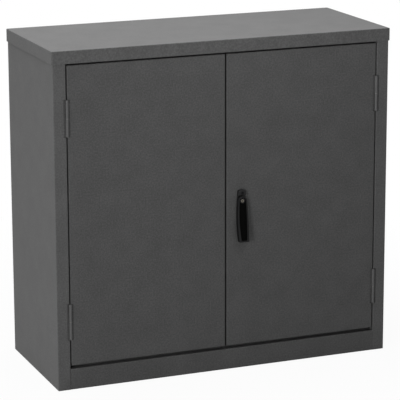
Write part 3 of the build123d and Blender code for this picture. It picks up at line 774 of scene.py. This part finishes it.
def whiteForTheEye(tree):
    # 1 for rays that the camera sees straight, in a reflection or through glass
    path = addNode(tree, "ShaderNodeLightPath").outputs
    seen = addNode(tree, "ShaderNodeMath", None, {0: path["Is Camera Ray"], 1: path["Is Glossy Ray"]},
                   {"operation": "MAXIMUM"})
    through = addNode(tree, "ShaderNodeMath", None, {0: seen.outputs[0], 1: path["Is Transmission Ray"]},
                      {"operation": "MAXIMUM"})
    return through.outputs[0]


def studioWorld():
    world = bpy.data.worlds.new("studioRoom")
    bpy.context.scene.world = world
    world.use_nodes = True
    tree = world.node_tree
    tree.nodes.clear()
    room = addNode(tree, "ShaderNodeBackground", {"Color": white, "Strength": studio["roomLight"]})
    seen = addNode(tree, "ShaderNodeBackground", {"Color": white, "Strength": 1.0})
    mix = addNode(tree, "ShaderNodeMixShader", None,
                  {0: whiteForTheEye(tree), 1: room.outputs[0], 2: seen.outputs[0]})
    addNode(tree, "ShaderNodeOutputWorld", links={"Surface": mix.outputs[0]})


def outsideCabinet(tree, place):
    # 0 on the floor under the cabinet, which is dark where it shows through a seam, and 1 elsewhere
    low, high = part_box("left_side_panel")[0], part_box("right_side_panel")[1]
    middle = [(a + b) / 2 for a, b in zip(low, high)]
    half = [(b - a) / 2 - studio["footprintInset"] for a, b in zip(low, high)]
    away = addNode(tree, "ShaderNodeVectorMath", {1: middle}, {0: place}, {"operation": "SUBTRACT"})
    share = addNode(tree, "ShaderNodeVectorMath", {1: half}, {0: away.outputs[0]}, {"operation": "DIVIDE"})
    size = addNode(tree, "ShaderNodeVectorMath", None, {0: share.outputs[0]}, {"operation": "ABSOLUTE"})
    sides = addNode(tree, "ShaderNodeSeparateXYZ", None, {0: size.outputs[0]}).outputs
    most = addNode(tree, "ShaderNodeMath", None, {0: sides["X"], 1: sides["Y"]}, {"operation": "MAXIMUM"})
    outside = addNode(tree, "ShaderNodeMath", {1: 1.0}, {0: most.outputs[0]}, {"operation": "GREATER_THAN"})
    return outside.outputs[0]


def studioFloor():
    # a pale matte floor that keeps the cabinet's shadow and that the camera sees as white
    half = studio["floorSize"] / 2
    mesh = bpy.data.meshes.new("studioFloor")
    corners = [(-half, -half, 0), (half, -half, 0), (half, half, 0), (-half, half, 0)]
    mesh.from_pydata(corners, [], [(0, 1, 2, 3)])
    floor = bpy.data.objects.new("studioFloor", mesh)
    bpy.context.scene.collection.objects.link(floor)
    material = newMaterial("matteWhiteFloor")
    tree = material.node_tree
    matte = addNode(tree, "ShaderNodeBsdfDiffuse", {"Color": srgb(studio["floorColour"])})
    glow = addNode(tree, "ShaderNodeEmission", {"Color": white, "Strength": 1.0})
    place = addNode(tree, "ShaderNodeNewGeometry").outputs["Position"]
    away = addNode(tree, "ShaderNodeVectorMath", None, {0: place}, {"operation": "LENGTH"})
    share = addNode(tree, "ShaderNodeMapRange",
                    {"From Min": studio["nearReach"], "From Max": studio["farReach"],
                     "To Min": studio["nearWhite"], "To Max": studio["farWhite"]},
                    {"Value": away.outputs["Value"]})
    seen = addNode(tree, "ShaderNodeMath", None, {0: whiteForTheEye(tree), 1: share.outputs["Result"]},
                   {"operation": "MULTIPLY"})
    lit = addNode(tree, "ShaderNodeMath", None, {0: seen.outputs[0], 1: outsideCabinet(tree, place)},
                  {"operation": "MULTIPLY"})
    mix = addNode(tree, "ShaderNodeMixShader", None,
                  {0: lit.outputs[0], 1: matte.outputs[0], 2: glow.outputs[0]})
    addNode(tree, "ShaderNodeOutputMaterial", links={"Surface": mix.outputs[0]})
    mesh.materials.append(material)


def hangSoftbox(name, spec):
    lamp = bpy.data.lights.new(name, "AREA")
    lamp.shape = "SQUARE"
    lamp.size = spec["size"]
    lamp.energy = spec["power"]
    holder = bpy.data.objects.new(name, lamp)
    bpy.context.scene.collection.objects.link(holder)
    holder.location = spec["place"]
    towards = Vector(studio["aim"]) - Vector(spec["place"])
    holder.rotation_euler = towards.to_track_quat("-Z", "Y").to_euler()


studioWorld()
studioFloor()
for softboxName, softbox in softboxes.items():
    hangSoftbox(softboxName, softbox)
print("studio lit")


lens = {
    "focalMm": 188.77,
    "filmMm": 36.0,
    "riseShift": -0.08,      # lowers the picture a little, so that upright edges converge less
    "farthest": 200.0,       # metres that it sees
    "place": (-1.9616, -4.8629, 1.7142),
    "turnDegrees": -21.967,  # to the right of straight on
    "dipDegrees": 13.153,
    "rollDegrees": -0.163,
}


def productCamera():
    data = bpy.data.cameras.new("productCamera")
    data.lens = lens["focalMm"]
    data.shift_y = lens["riseShift"]
    data.sensor_width = lens["filmMm"]
    data.clip_end = lens["farthest"]
    camera = bpy.data.objects.new("productCamera", data)
    bpy.context.scene.collection.objects.link(camera)
    turn = Matrix.Rotation(math.radians(lens["turnDegrees"]), 4, "Z")
    dip = Matrix.Rotation(math.radians(90 - lens["dipDegrees"]), 4, "X")
    roll = Matrix.Rotation(math.radians(lens["rollDegrees"]), 4, "Z")
    camera.matrix_world = Matrix.Translation(lens["place"]) @ turn @ dip @ roll
    bpy.context.scene.camera = camera


productCamera()
bpy.context.scene.view_settings.view_transform = "Standard"
print("camera placed")
